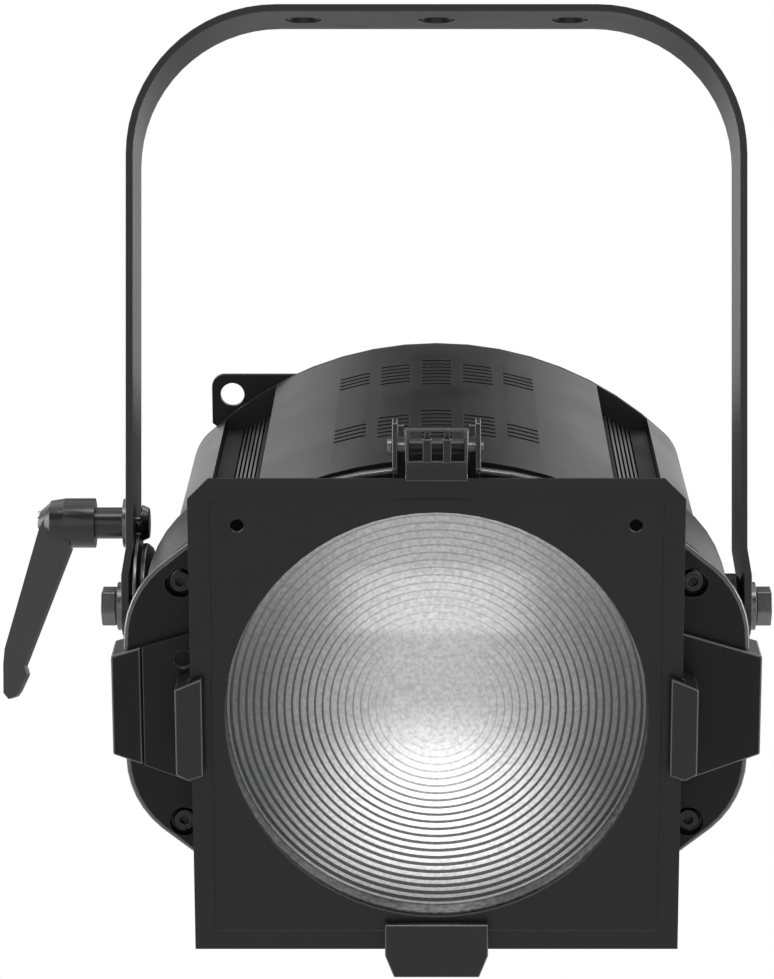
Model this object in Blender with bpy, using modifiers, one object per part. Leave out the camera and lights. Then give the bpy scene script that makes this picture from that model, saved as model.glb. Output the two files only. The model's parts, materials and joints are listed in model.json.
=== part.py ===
"""Studio fresnel spotlight hung by a flat-bar yoke: an LED head that tilts on two side pivots.

Sizes are in millimetres and the helpers turn them into metres. The world origin is the yoke's
middle clamp hole, on the outer face of the top bar. X is to the right, Y to the rear, Z up.
Every piece of the head is placed in the head's own axes: the origin is on the tilt axis, the lens
looks along -Y, and one empty tilts them all nose down.
"""
import math

import bmesh
import bpy
from mathutils import Matrix, Vector

MM = 0.001
CLEAR = 0.3

# yoke and tilt pivot
YOKE_OUTER = 131.2
BAR_THICK = 3.2
BAR_WIDTH = 46.0
YOKE_CORNER = 63.5
YOKE_HOLE_R = 8.0
YOKE_HOLE_PITCH = 57.0
PIVOT_DROP = 253.7
LEG_BELOW_PIVOT = 13.0
JOGGLE_OUT = 1.9
JOGGLE_TOP = -229.5
JOGGLE_BOTTOM = -241.0
PIVOT_BOLT_R = 5.0
LOCK_RISE = 35.5
LOCK_BOLT_R = 4.2
HEAD_TILT = 16.5

# head casing, along its own Y axis
SHELL_FRONT = -121.0
SHELL_REAR = 95.0
END_PLATE_THICK = 3.0
HOUSING_REAR = 205.0
SHELL_THICK = 2.5
COVER_THICK = 2.2
BODY_TOP = 94.0
BODY_TOP_RADIUS = 147.5
BODY_HALF_WIDTH = 109.0
BODY_CORNER = 21.5
COVER_HALF = 71.3
CHANNEL_OUTER = 94.0
CHANNEL_DEEP = 16.0
BOTTOM_HALF = 60.0

# front bezel, lens and colour frame
BEZEL_FRONT = -140.0
BEZEL_BACK = -134.5
BEZEL_HALF_WIDTH = 121.8
BEZEL_TOP = 93.6
BEZEL_TOP_RADIUS = 166.0
BEZEL_CORNER = 38.3
BEZEL_RISE = 1.5
CHEEK_FRONT = -127.0
CHEEK_REAR = -62.0
CHEEK_REACH = 67.0
LENS_SEAT_R = 86.0
LENS_R = 85.6
LENS_FACE = -145.0
LENS_FACE_R = 82.0
LENS_SKIRT_R = 76.0
LENS_FLANGE_FRONT = -133.0
LENS_BACK = -128.3
LENS_OPENING_R = 81.0
FRAME_SIDE = 190.5
FRAME_FRONT = -159.2
FRAME_BACK = -157.0
FRAME_APERTURE_R = 82.2
FRAME_BORDER = 8.0
FRAME_DROP = 0.8
SLOT_FRONT = -160.0
SLOT_BACK = -156.4
ARM_FRONT = -143.0
ARM_REAR = -121.0
CLIP_FRONT = -163.5

# top latch
LATCH_PIN_Y = -150.0
LATCH_PIN_Z = 105.7
LATCH_PIN_R = 2.0
BRACKET_BASE_TOP = 103.0

# inside the head
ROD_X = 88.0
ROD_Z = -30.0
ROD_R = 4.0
SCREW_Z = -72.0
SCREW_R = 3.0
MOTOR_FRONT = 71.3
FAN_FRONT = 78.0

for item in list(bpy.data.objects):
    bpy.data.objects.remove(item, do_unlink=True)

parts = bpy.data.collections.new("fresnel_spotlight")
cutters = bpy.data.collections.new("cutters")
bpy.context.scene.collection.children.link(parts)
bpy.context.scene.collection.children.link(cutters)


def add_empty(name, location, tilt=0.0):
    empty = bpy.data.objects.new(name, None)
    empty.empty_display_size = 0.05
    empty.location = Vector(location) * MM
    empty.rotation_euler = (math.radians(tilt), 0.0, 0.0)
    parts.objects.link(empty)
    return empty


def principled(name, colour, roughness, metallic=0.0, transmission=0.0):
    made = bpy.data.materials.new(name)
    made.use_nodes = True
    shader = made.node_tree.nodes["Principled BSDF"]
    shader.inputs["Base Color"].default_value = (*colour, 1.0)
    shader.inputs["Roughness"].default_value = roughness
    shader.inputs["Metallic"].default_value = metallic
    shader.inputs["Transmission Weight"].default_value = transmission
    made.diffuse_color = (*colour, 1.0)
    return made


FINISHES = {
    "black": ((0.028, 0.028, 0.030), 0.42, 0.0),
    "matt": ((0.020, 0.020, 0.021), 0.60, 0.0),
    "zinc": ((0.62, 0.62, 0.60), 0.30, 1.0),
    "blacked": ((0.035, 0.035, 0.036), 0.35, 1.0),
    "alloy": ((0.50, 0.50, 0.51), 0.35, 1.0),
    "glass": ((0.85, 0.87, 0.88), 0.08, 0.0),
    "board": ((0.03, 0.16, 0.07), 0.55, 0.0),
    "plastic": ((0.05, 0.05, 0.05), 0.50, 0.0),
}


def place(name, mesh, finish, parent=None, origin=(0.0, 0.0, 0.0)):
    """Make one named part from a mesh in its parent's axes, with its origin where it turns."""
    mesh.name = name
    mesh.transform(Matrix.Translation(-Vector(origin) * MM))
    mesh.shade_smooth()
    mesh.set_sharp_from_angle(angle=math.radians(35.0))
    made = bpy.data.objects.new(name, mesh)
    made.location = Vector(origin) * MM
    made.parent = parent
    colour, roughness, metallic = FINISHES[finish]
    transmission = 0.9 if finish == "glass" else 0.0
    mesh.materials.append(principled(name, colour, roughness, metallic, transmission))
    parts.objects.link(made)
    return made


def boolean(target, mesh, operation, parent=None):
    """Cut or join a mesh, given in the parent's axes, with an exact Boolean on the target."""
    helper = bpy.data.objects.new(target.name + "_" + operation.lower(), mesh)
    helper.hide_render = True
    helper.display_type = "WIRE"
    helper.parent = parent
    cutters.objects.link(helper)
    step = target.modifiers.new(operation.lower(), "BOOLEAN")
    step.object = helper
    step.operation = operation
    step.solver = "EXACT"


def cut(target, mesh):
    boolean(target, mesh, "DIFFERENCE", target.parent)


def join(target, mesh):
    boolean(target, mesh, "UNION", target.parent)


def box(low, high):
    """A box between two corners."""
    shape = bmesh.new()
    bmesh.ops.create_cube(shape, size=1.0)
    size = [(b - a) * MM for a, b in zip(low, high)]
    middle = [(a + b) * 0.5 * MM for a, b in zip(low, high)]
    bmesh.ops.scale(shape, vec=size, verts=shape.verts)
    bmesh.ops.translate(shape, vec=middle, verts=shape.verts)
    mesh = bpy.data.meshes.new("box")
    shape.to_mesh(mesh)
    shape.free()
    return mesh


AXIS_TURN = {
    "X": Matrix(((0, 0, 1, 0), (1, 0, 0, 0), (0, 1, 0, 0), (0, 0, 0, 1))),
    "Y": Matrix(((1, 0, 0, 0), (0, 0, -1, 0), (0, 1, 0, 0), (0, 0, 0, 1))),
    "Z": Matrix.Identity(4),
}


def cylinder(axis, centre, radius, start, end, sides=24, end_radius=None):
    """A round bar along an axis. centre gives its place on the other two axes, in X, Y, Z order."""
    shape = bmesh.new()
    far_radius = radius if end_radius is None else end_radius
    near, far = (far_radius, radius) if axis == "Y" else (radius, far_radius)
    bmesh.ops.create_cone(shape, cap_ends=True, segments=sides, radius1=near * MM,
                          radius2=far * MM, depth=(end - start) * MM)
    middle = (start + end) * 0.5
    first, second = centre
    spot = {"X": (middle, first, second), "Y": (first, middle, second), "Z": (first, second, middle)}
    mesh = bpy.data.meshes.new("bar")
    shape.to_mesh(mesh)
    shape.free()
    mesh.transform(Matrix.Translation(Vector(spot[axis]) * MM) @ AXIS_TURN[axis])
    return mesh


def prism(axis, outlines, start, end):
    """A flat outline, with any holes, pushed along an axis from start to end."""
    curve = bpy.data.curves.new("outline", "CURVE")
    curve.dimensions = "2D"
    curve.fill_mode = "BOTH"
    curve.extrude = (end - start) * 0.5 * MM
    for outline in outlines:
        line = curve.splines.new("POLY")
        line.points.add(len(outline) - 1)
        line.use_cyclic_u = True
        for point, (across, up) in zip(line.points, outline):
            point.co = (across * MM, up * MM, 0.0, 1.0)
    flat = bpy.data.objects.new("outline", curve)
    cutters.objects.link(flat)
    bpy.context.view_layer.update()
    graph = bpy.context.evaluated_depsgraph_get()
    mesh = bpy.data.meshes.new_from_object(flat.evaluated_get(graph))
    bpy.data.objects.remove(flat, do_unlink=True)
    shape = bmesh.new()
    shape.from_mesh(mesh)
    bmesh.ops.remove_doubles(shape, verts=shape.verts, dist=0.00001)
    bmesh.ops.recalc_face_normals(shape, faces=shape.faces)
    shape.to_mesh(mesh)
    shape.free()
    middle = (start + end) * 0.5 * MM
    shift = {"X": (middle, 0.0, 0.0), "Y": (0.0, middle, 0.0), "Z": (0.0, 0.0, middle)}
    mesh.transform(Matrix.Translation(shift[axis]) @ AXIS_TURN[axis])
    return mesh


def turned(axis, centre, profile, sides=32):
    """A turned solid: profile lists (radius, distance along the axis) from the far end back."""
    mesh = bpy.data.meshes.new("profile")
    points = [(radius * MM, 0.0, along * MM) for radius, along in profile]
    closed = all(radius > 0.0 for radius, along in profile)
    last = len(points) if closed else len(points) - 1
    edges = [(i, (i + 1) % len(points)) for i in range(last)]
    mesh.from_pydata(points, edges, [])
    guide = bpy.data.objects.new("profile", mesh)
    cutters.objects.link(guide)
    spin = guide.modifiers.new("turn", "SCREW")
    spin.steps = sides
    spin.render_steps = sides
    spin.use_merge_vertices = True
    spin.merge_threshold = 0.00001
    bpy.context.view_layer.update()
    graph = bpy.context.evaluated_depsgraph_get()
    solid = bpy.data.meshes.new_from_object(guide.evaluated_get(graph))
    bpy.data.objects.remove(guide, do_unlink=True)
    shape = bmesh.new()
    shape.from_mesh(solid)
    bmesh.ops.remove_doubles(shape, verts=shape.verts, dist=0.00001)
    bmesh.ops.recalc_face_normals(shape, faces=shape.faces)
    shape.to_mesh(solid)
    shape.free()
    first, second = centre
    spot = {"X": (0.0, first, second), "Y": (first, 0.0, second), "Z": (first, second, 0.0)}
    if axis == "Y":
        solid.transform(Matrix.Scale(-1.0, 4, (0.0, 0.0, 1.0)))
        solid.flip_normals()
    solid.transform(Matrix.Translation(Vector(spot[axis]) * MM) @ AXIS_TURN[axis])
    return solid


def shifted(mesh, centre, turn=0.0):
    """Turn a mesh about X through the origin, then move it by a distance along Y and Z."""
    mesh.transform(Matrix.Rotation(math.radians(turn), 4, "X"))
    mesh.transform(Matrix.Translation(Vector((0.0, centre[0], centre[1])) * MM))
    return mesh


def arc(centre, radius, first, last, steps):
    """Points round an arc, with angles in degrees from +X towards the second axis."""
    angles = [math.radians(first + (last - first) * i / steps) for i in range(steps + 1)]
    return [(centre[0] + radius * math.cos(a), centre[1] + radius * math.sin(a)) for a in angles]


def ring(radius, steps=64, centre=(0.0, 0.0)):
    return arc(centre, radius, 0.0, 360.0, steps)[:-1]


def quarter_section(half_width, top, top_radius, corner, start_x=0.0):
    """The casing's upper right edge, from start_x on the crown round to the middle of the side."""
    crown = top - top_radius
    reach = top_radius - corner
    side = half_width - corner
    corner_z = crown + math.sqrt(reach * reach - side * side)
    turn = math.degrees(math.atan2(corner_z - crown, side))
    start = math.degrees(math.acos(start_x / top_radius))
    upper = arc((0.0, crown), top_radius, start, turn, 8)
    lower = arc((side, corner_z), corner, turn, 0.0, 6)
    return upper + lower[1:]


def full_section(half_width, top, top_radius, corner):
    """The casing's whole outline: a wide round-cornered drum, the same above and below."""
    quarter = quarter_section(half_width, top, top_radius, corner)
    right = quarter + [(x, -z) for x, z in reversed(quarter)]
    left = [(-x, z) for x, z in reversed(right)]
    return right + left[1:-1]


def raised(points, rise):
    return [(x, z + rise) for x, z in points]


def mirrored(points, side):
    """The same outline on the right, side 1, or on the left, side -1."""
    return [(x * side, z) for x, z in points]


def build_yoke():
    half = YOKE_OUTER
    foot = -PIVOT_DROP - LEG_BELOW_PIVOT
    inner_r = YOKE_CORNER - BAR_THICK
    bend = (half - YOKE_CORNER, -YOKE_CORNER)
    outer = [(half + JOGGLE_OUT, foot), (half + JOGGLE_OUT, JOGGLE_BOTTOM), (half, JOGGLE_TOP)]
    outer += arc(bend, YOKE_CORNER, 0.0, 90.0, 16)
    inner = arc(bend, inner_r, 90.0, 0.0, 16)
    inner += [(half - BAR_THICK, JOGGLE_TOP), (half - BAR_THICK + JOGGLE_OUT, JOGGLE_BOTTOM)]
    inner += [(half - BAR_THICK + JOGGLE_OUT, foot)]
    outline = outer + [(-x, z) for x, z in reversed(outer)]
    outline += [(-x, z) for x, z in reversed(inner)] + inner
    yoke = place("yoke", prism("Y", [outline], -BAR_WIDTH / 2, BAR_WIDTH / 2), "black")
    corner = 12.0
    side = BAR_WIDTH / 2
    tail = [(-side, 10.0), (-side, foot + corner)]
    tail += arc((-side + corner, foot + corner), corner, 180.0, 270.0, 6)[1:]
    tail += arc((side - corner, foot + corner), corner, 270.0, 360.0, 6)
    tail += [(side, 10.0)]
    boolean(yoke, prism("X", [tail], -half - 10.0, half + 10.0), "INTERSECT")
    for step in (-1, 0, 1):
        spot = (step * YOKE_HOLE_PITCH, 0.0)
        cut(yoke, cylinder("Z", spot, YOKE_HOLE_R, -BAR_THICK - 2.0, 2.0))
    for start in (-half - 10.0, half - 10.0):
        cut(yoke, cylinder("X", (0.0, -PIVOT_DROP), PIVOT_BOLT_R + 0.4, start, start + 20.0, 24))
    lock_axis = (0.0, LOCK_RISE - PIVOT_DROP)
    cut(yoke, cylinder("X", lock_axis, LOCK_BOLT_R + CLEAR, -half - 10.0, -half + 10.0, 24))


def build_pivot(side, word):
    """Hex bolt and washer outside the leg; the shank runs on into the head's hub."""
    face = YOKE_OUTER + JOGGLE_OUT
    washer_end = face + 3.1
    head_end = face + 9.8
    shank_end = 102.5
    head_turn = -12.0
    axis = (0.0, -PIVOT_DROP)
    start, end = sorted((side * (face + CLEAR), side * washer_end))
    made = place("pivot_washer_" + word, cylinder("X", axis, 10.3, start, end), "blacked")
    cut(made, cylinder("X", axis, PIVOT_BOLT_R + CLEAR, start - 1.0, end + 1.0, 24))
    start, end = sorted((side * (washer_end + CLEAR), side * head_end))
    hexagon = shifted(cylinder("X", (0.0, 0.0), 8.7, start, end, 6), axis, head_turn)
    bolt = place("pivot_bolt_" + word, hexagon, "blacked")
    start, end = sorted((side * shank_end, side * (face + 5.0)))
    join(bolt, cylinder("X", axis, PIVOT_BOLT_R, start, end, 24))


def build_lock_bolt(centre):
    """The clamp bolt, with its domed head inside the leg, and the washer outside."""
    leg_out = -YOKE_OUTER
    leg_in = -YOKE_OUTER + BAR_THICK
    head = cylinder("X", centre, 7.9, leg_in + 2.0, leg_in + 5.4, 32, 6.4)
    bolt = place("tilt_lock_bolt", head, "zinc")
    join(bolt, cylinder("X", centre, LOCK_BOLT_R, leg_out - 22.0, leg_in + 3.4, 24))
    washer = cylinder("X", centre, 10.4, leg_out - 2.6, leg_out - CLEAR)
    made = place("tilt_lock_washer", washer, "blacked")
    cut(made, cylinder("X", centre, LOCK_BOLT_R + CLEAR, leg_out - 4.0, leg_out + 1.0, 24))


def build_lock_lever(centre):
    """The clamp lever, whose arm leans outwards as it hangs down, and its retaining screw."""
    leg_out = -YOKE_OUTER
    hub_end = leg_out - 14.6
    hub_start = leg_out - 27.7
    cap_start = leg_out - 33.6
    cap_end = leg_out - 38.6
    middle = (0.0, 0.0)
    turn_axis = (0.0, centre[0], centre[1])
    neck = cylinder("X", centre, 6.7, hub_end - 1.0, leg_out - 2.9)
    lever = place("tilt_lock_lever", neck, "black", None, turn_axis)
    join(lever, shifted(cylinder("X", middle, 10.6, hub_start, hub_end), centre))
    join(lever, shifted(cylinder("X", middle, 9.6, cap_start, hub_start + 0.5, 32, 10.6), centre))
    join(lever, shifted(cylinder("X", middle, 4.8, cap_end, cap_start + 0.5, 32, 9.6), centre))
    arm = [(-165.0, 6.5), (-158.5, 7.5), (-156.2, -11.2), (-175.6, -61.1), (-174.5, -64.7)]
    arm += [(-177.8, -71.9), (-179.4, -74.2), (-182.4, -75.2), (-184.5, -72.6), (-184.6, -60.2)]
    arm += [(-184.0, -53.7), (-169.6, -3.4)]
    join(lever, shifted(prism("Y", [arm], -7.0, 7.0), centre))
    cut(lever, shifted(cylinder("X", middle, LOCK_BOLT_R + CLEAR, leg_out - 22.5, leg_out), centre))
    screw_rise = 1.3
    seat = (0.0, screw_rise)
    cut(lever, shifted(cylinder("X", seat, 4.2, cap_end - 2.0, cap_start - 1.0, 24), centre))
    screw = cylinder("X", (centre[0], centre[1] + screw_rise), 3.8, cap_end - 0.6, cap_start - 1.3, 24)
    made = place("lever_screw", screw, "zinc", None, turn_axis)
    cut(made, shifted(cylinder("X", seat, 1.9, cap_end - 2.0, cap_end + 1.4, 6), centre))


def build_hub(head, side, word):
    """A turned boss that stands out of the side shell and carries the tilt pivot."""
    bore = PIVOT_BOLT_R + 0.4
    seat = BODY_HALF_WIDTH + CLEAR
    profile = [(bore, 129.5), (12.0, 129.5), (14.0, 127.5), (14.0, 116.0)]
    if side < 0:
        profile = [(bore, 126.0), (25.5, 126.0), (27.0, 124.8), (27.0, 123.3), (25.2, 121.2), (22.0, 119.8)]
        profile += [(19.0, 118.0)]
    profile += [(19.0, 115.0), (19.0, seat), (15.0, seat), (15.0, 101.0), (bore, 101.0)]
    if side < 0:
        profile = [(r, -x) for r, x in reversed(profile)]
    place("pivot_hub_" + word, turned("X", (0.0, 0.0), profile), "black", head)


def build_friction_disc(head):
    near = -126.0 - CLEAR
    far = -YOKE_OUTER + BAR_THICK + CLEAR
    bore = PIVOT_BOLT_R + 0.4
    profile = [(30.6, near), (30.6, far), (bore, far), (bore, near)]
    place("tilt_friction_disc", turned("X", (0.0, 0.0), profile, 48), "blacked", head)


def crown_height(x):
    return BODY_TOP - BODY_TOP_RADIUS + math.sqrt(BODY_TOP_RADIUS ** 2 - x * x)


def crown_strip(half, lip):
    """A bent strip of the casing's crown, with its long edges folded down by a lip."""
    crown = BODY_TOP - BODY_TOP_RADIUS
    outer_turn = math.degrees(math.asin(half / BODY_TOP_RADIUS))
    inner_radius = BODY_TOP_RADIUS - COVER_THICK
    inner_half = half - COVER_THICK
    inner_turn = math.degrees(math.asin(inner_half / inner_radius))
    foot = crown_height(half) - COVER_THICK - lip
    outer = arc((0.0, crown), BODY_TOP_RADIUS, 90.0 + outer_turn, 90.0 - outer_turn, 14)
    inner = arc((0.0, crown), inner_radius, 90.0 - inner_turn, 90.0 + inner_turn, 14)
    return outer + [(half, foot), (inner_half, foot)] + inner + [(-inner_half, foot), (-half, foot)]


def build_top_cover(head):
    """The vented cover: two rows of five slot groups that follow the crown."""
    outline = crown_strip(COVER_HALF, 25.0)
    cover = place("top_cover", prism("Y", [outline], SHELL_FRONT + CLEAR, SHELL_REAR), "black", head)
    slots_per_group = (4, 6, 8, 6, 4)
    group_pitch = 17.5
    slot_pitch = 6.6
    slot_half_length = 6.4
    slot_half_width = 1.3
    for row_y in (-58.5, 38.5):
        for index, slots in enumerate(slots_per_group):
            middle_x = (index - 2) * group_pitch
            for step in range(slots):
                y = row_y + (step - (slots - 1) * 0.5) * slot_pitch
                low = (middle_x - slot_half_length, y - slot_half_width, 75.0)
                high = (middle_x + slot_half_length, y + slot_half_width, 100.0)
                cut(cover, box(low, high))


def build_heat_sink(head, side, word):
    """A finned extrusion sunk in the channel beside the top cover."""
    inner_x = COVER_HALF + CLEAR
    outer_x = CHANNEL_OUTER - CLEAR
    first_gap = 75.6
    gap_count = 6
    gap_pitch = 1.95
    gap_wide = 0.8
    gap_deep = 5.0
    fin_top = 61.5
    fall = 0.58
    strip_top = 55.0
    points = [(inner_x, fin_top)]
    for step in range(gap_count):
        left = first_gap + step * gap_pitch
        right = left + gap_wide
        top = fin_top - fall * (left - first_gap)
        points += [(left, top), (left, top - gap_deep), (right, top - gap_deep)]
        points += [(right, strip_top if step == gap_count - 1 else top - fall * gap_wide)]
    floor = crown_height(outer_x) - CHANNEL_DEEP
    points += [(outer_x, strip_top), (outer_x, floor), (inner_x, floor)]
    mesh = prism("Y", [mirrored(points, side)], SHELL_FRONT + CLEAR, SHELL_REAR)
    place("heat_sink_" + word, mesh, "black", head)


def body_quarter(inset, start_x):
    """The casing's upper right edge, set in by a thickness."""
    return quarter_section(BODY_HALF_WIDTH - inset, BODY_TOP - inset, BODY_TOP_RADIUS - inset,
                           BODY_CORNER - inset, start_x)


def build_side_shell(head, side, word):
    """A side panel that runs from the channel's outer wall round to the bottom cover."""
    channel_inner = CHANNEL_OUTER + SHELL_THICK
    outer = body_quarter(0.0, CHANNEL_OUTER)
    thin = body_quarter(SHELL_THICK, channel_inner)
    belly = body_quarter(0.0, BOTTOM_HALF)
    thin_belly = body_quarter(SHELL_THICK, BOTTOM_HALF)
    lip = crown_height(CHANNEL_OUTER) - CHANNEL_DEEP
    outline = outer + [(x, -z) for x, z in reversed(belly)]
    outline += [(x, -z) for x, z in thin_belly] + list(reversed(thin))
    outline += [(channel_inner, lip), (CHANNEL_OUTER, lip)]
    mesh = prism("Y", [mirrored(outline, side)], SHELL_FRONT + CLEAR, SHELL_REAR)
    shell = place("side_shell_" + word, mesh, "black", head)
    start, end = sorted((side * 100.0, side * 125.0))
    cut(shell, cylinder("X", (0.0, 0.0), 15.4, start, end))


def build_bottom_cover(head):
    outline = [(x, -z) for x, z in crown_strip(BOTTOM_HALF - CLEAR, 4.0)]
    cover = place("bottom_cover", prism("Y", [outline], SHELL_FRONT + CLEAR, SHELL_REAR), "black", head)
    slots = 6
    slot_pitch = 24.0
    for step in range(slots):
        y = -70.0 + step * slot_pitch
        cut(cover, box((-30.0, y - 2.0, -100.0), (30.0, y + 2.0, -80.0)))


def build_end_plate(head):
    outline = full_section(BODY_HALF_WIDTH, BODY_TOP, BODY_TOP_RADIUS, BODY_CORNER)
    air_hole = ring(40.0, 40)
    start = SHELL_REAR + CLEAR
    mesh = prism("Y", [outline, air_hole], start, start + END_PLATE_THICK)
    place("rear_end_plate", mesh, "matt", head)


def build_safety_tab(head):
    """A flat tab with a round hole for the safety cable, on the upper left of the end plate."""
    start = SHELL_REAR + 2 * CLEAR + END_PLATE_THICK
    left = -100.4
    right = -55.0
    top = 79.3
    foot = 54.3
    corner = 5.4
    outline = [(right, foot), (right, top)]
    outline += arc((left + corner, top - corner), corner, 90.0, 180.0, 8)
    outline += [(left, foot + 3.0), (left + 4.0, foot)]
    hole = ring(5.3, 32, (-91.3, 70.3))
    place("safety_cable_tab", prism("Y", [outline, hole], start, start + 3.0), "black", head)


def bezel_section(grow=0.0):
    """Outline of the bezel's front plate, which sits a little above the tilt axis."""
    section = full_section(BEZEL_HALF_WIDTH + grow, BEZEL_TOP + grow,
                           BEZEL_TOP_RADIUS + grow, BEZEL_CORNER + grow)
    return raised(section, BEZEL_RISE)


def cheek_outline():
    """One of the bezel's rear cheeks, wrapped round the right side of the casing."""
    start_x = 80.0
    outer = quarter_section(119.0, 94.0, 165.0, 48.0, start_x)
    inner = body_quarter(-CLEAR, start_x)
    outer = [point for point in outer if point[1] < CHEEK_REACH]
    inner = [point for point in inner if point[1] < CHEEK_REACH]
    right = outer + [(x, -z) for x, z in reversed(outer)][1:]
    left = [(x, -z) for x, z in inner] + list(reversed(inner))[1:]
    return right + left


def build_front_bezel(head):
    """The front casting: a plate, a sunk neck behind it, and cheeks that reach back over the sides."""
    mesh = prism("Y", [bezel_section(), ring(LENS_OPENING_R, 56)], BEZEL_FRONT, BEZEL_BACK)
    bezel = place("front_bezel", mesh, "black", head)
    neck = full_section(114.5, 90.5, 160.0, 44.0)
    join(bezel, prism("Y", [neck, ring(LENS_OPENING_R, 56)], BEZEL_BACK - 1.0, SHELL_FRONT))
    for side in (-1, 1):
        join(bezel, prism("Y", [mirrored(cheek_outline(), side)], CHEEK_FRONT, CHEEK_REAR))
    cut(bezel, cylinder("Y", (0.0, 0.0), LENS_SEAT_R, BEZEL_FRONT - 1.0, -128.0, 56))
    for x, z in bezel_screw_places():
        cut(bezel, cylinder("Y", (x, z), 6.0, BEZEL_FRONT - 1.0, -133.0, 24))
        cut(bezel, cylinder("Y", (x, z), 2.6, -134.0, SHELL_FRONT + 1.0, 12))


def bezel_screw_places():
    return [(-99.8, 49.0), (99.8, 49.0), (-99.8, -49.0), (99.8, -49.0)]


def build_bezel_screws(head):
    for number, (x, z) in enumerate(bezel_screw_places(), 1):
        name = "bezel_screw_" + str(number)
        screw = place(name, cylinder("Y", (x, z), 4.0, -138.0, -133.3, 24), "blacked", head)
        join(screw, cylinder("Y", (x, z), 2.3, -134.0, SHELL_FRONT - 0.5, 12))
        cut(screw, cylinder("Y", (x, z), 2.2, -139.0, -135.5, 6))


def build_lens(head):
    """A cupped lens whose face stands proud of the bezel, and the ring that holds its flange."""
    axis = (0.0, 0.0)
    flange = cylinder("Y", axis, LENS_R, LENS_FLANGE_FRONT, LENS_BACK, 48)
    lens = place("fresnel_lens", flange, "glass", head)
    join(lens, cylinder("Y", axis, LENS_FACE_R, LENS_FACE, LENS_FLANGE_FRONT + 1.0, 48))
    cut(lens, cylinder("Y", axis, LENS_SKIRT_R, LENS_FACE + 6.0, LENS_BACK + 1.0, 48))
    outline = [ring(LENS_R, 48), ring(82.4, 48)]
    place("lens_ring", prism("Y", outline, -136.0, -133.3), "matt", head)


def arm_outline(inner_x, outer_x):
    """Front view of a holder arm between two distances from the middle; it narrows outwards."""
    slope_top = 0.30
    slope_bottom = 0.37
    base_x = 96.0
    top = [(x, 29.5 - slope_top * (x - base_x)) for x in (inner_x, outer_x)]
    bottom = [(x, -31.7 + slope_bottom * (x - base_x)) for x in (inner_x, outer_x)]
    return [bottom[0], bottom[1], top[1], top[0]]


def build_holder_arms(head):
    """Arms that carry the side clips. The left one is a pod and a small access panel."""
    pieces = (("holder_arm_right", 88.5, 127.2, 1), ("holder_pod_left", 115.6, 127.2, -1),
              ("access_panel_left", 88.5, 114.9, -1))
    for name, inner_x, outer_x, side in pieces:
        outline = mirrored(arm_outline(inner_x, outer_x), side)
        arm = place(name, prism("Y", [outline], ARM_FRONT, ARM_REAR), "black", head)
        cut(arm, prism("Y", [bezel_section(CLEAR)], BEZEL_FRONT - CLEAR, ARM_REAR + 10.0))
        if name == "access_panel_left":
            cut(arm, cylinder("Y", (-98.8, 19.0), 3.6, ARM_FRONT - 1.0, ARM_FRONT + 1.4, 24))


def build_side_clip(head, side, word):
    """A cast channel that the colour frame's edge slides in."""
    outline = [(90.6, -22.5), (96.5, -24.5), (101.2, -22.0), (101.2, 12.5), (90.6, 17.0)]
    mesh = prism("Y", [mirrored(outline, side)], CLIP_FRONT, ARM_FRONT - CLEAR)
    clip = place("side_clip_" + word, mesh, "black", head)
    start, end = sorted((side * 80.0, side * 95.8))
    cut(clip, box((start, SLOT_FRONT, -40.0), (end, SLOT_BACK, 40.0)))


def build_bottom_clip(head):
    outline = [(-20.3, -84.0), (20.3, -84.0), (20.3, -97.0), (16.8, -106.0), (-16.8, -106.0), (-20.3, -97.0)]
    mesh = prism("Y", [outline], CLIP_FRONT, BEZEL_FRONT - CLEAR)
    clip = place("bottom_clip", mesh, "black", head)
    slot_foot = -FRAME_SIDE / 2 - FRAME_DROP - 0.4
    cut(clip, box((-30.0, SLOT_FRONT, slot_foot), (30.0, SLOT_BACK, -60.0)))


def build_colour_frame(head):
    half = FRAME_SIDE / 2
    chamfer = 8.0
    shape = bmesh.new()
    foot = -half - FRAME_DROP
    corners = [(-half, foot), (half, foot), (half, half - chamfer), (half - chamfer, half)]
    corners += [(chamfer - half, half), (-half, half - chamfer)]
    verts = [shape.verts.new((x * MM, FRAME_BACK * MM, z * MM)) for x, z in corners]
    face = shape.faces.new(verts)
    pushed = bmesh.ops.extrude_face_region(shape, geom=[face])
    front = [item for item in pushed["geom"] if isinstance(item, bmesh.types.BMVert)]
    bmesh.ops.translate(shape, vec=(0.0, -1.0 * MM, 0.0), verts=front)
    top = [item for item in pushed["geom"] if isinstance(item, bmesh.types.BMFace)]
    bmesh.ops.recalc_face_normals(shape, faces=shape.faces)
    bmesh.ops.inset_region(shape, faces=top, thickness=FRAME_BORDER * MM, depth=1.2 * MM,
                           use_even_offset=True)
    mesh = bpy.data.meshes.new("frame")
    shape.to_mesh(mesh)
    shape.free()
    frame = place("colour_frame", mesh, "black", head)
    cut(frame, cylinder("Y", (0.0, 0.0), FRAME_APERTURE_R, FRAME_FRONT - 2.0, FRAME_BACK + 2.0, 64))
    for x in (-76.3, 76.3):
        cut(frame, cylinder("Y", (x, 77.0), 2.7, FRAME_FRONT - 2.0, FRAME_BACK + 2.0, 20))


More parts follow.
